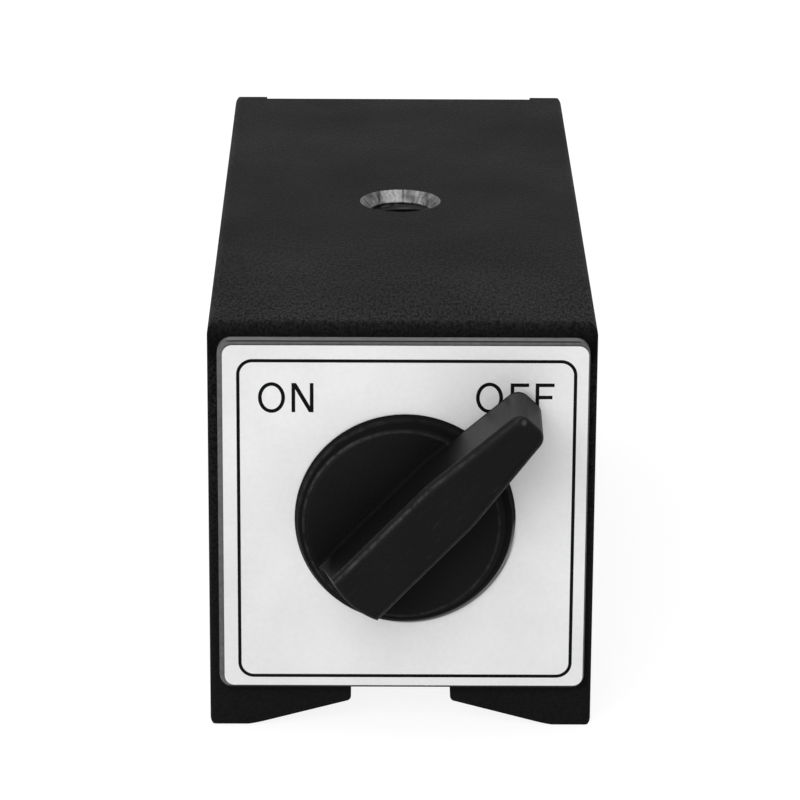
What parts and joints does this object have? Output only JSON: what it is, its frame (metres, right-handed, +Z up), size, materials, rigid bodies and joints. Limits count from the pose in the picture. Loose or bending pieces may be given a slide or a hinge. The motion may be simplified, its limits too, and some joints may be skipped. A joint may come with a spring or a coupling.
{
  "type": "switchable magnetic base",
  "caption": "Black block-shaped magnetic base with a vee foot, a threaded column hole on top and a front knob that turns an inner magnet rotor between ON and OFF.",
  "frame": {"origin": "on the resting plane, at the centre of the overall box, knob included", "axes": "+Z up out of the column hole, -Y out of the knob's face, +X to the right seen from the knob"},
  "size_m": [0.05, 0.1312, 0.055],
  "materials": {
    "body_paint": "fine-grained black paint, bare ground feet",
    "soft_iron": "turned and milled",
    "seam_brass": "drawn strip",
    "plate_steel": "blanked sheet, matt zinc plated",
    "label_aluminium": "satin, printed in black",
    "bearing_bronze": "turned bronze",
    "spindle_steel": "turned, bright",
    "spring_steel": "blued",
    "cap_brass": "turned",
    "ferrite": "pressed and ground ceramic",
    "knob_plastic": "moulded, fine matt"
  },
  "bodies": {
    "base": {"left_pole": "body_paint", "right_pole": "body_paint", "top_spacer": "body_paint", "bottom_spacer": "seam_brass", "front_plate": "plate_steel", "front_label": "label_aluminium", "front_bearing": "bearing_bronze", "stop_pin": "spindle_steel", "rear_plate": "plate_steel", "rear_bearing": "bearing_bronze", "disc_spring": "spring_steel"},
    "rotor": {"knob": "knob_plastic", "spindle": "spindle_steel", "cross_pin": "spindle_steel", "rotor_front_cap": "cap_brass", "rotor_rear_cap": "cap_brass", "magnet_blocks": "ferrite", "upper_rotor_pole": "soft_iron", "lower_rotor_pole": "soft_iron"}
  },
  "joints": [
    {"name": "knob_turn", "type": "hinge", "parent": "base", "child": "rotor", "pos_m": [0.00045, 0, 0.02985], "axis": [0, -1, 0], "range_deg": [0, 90]}
  ]
}
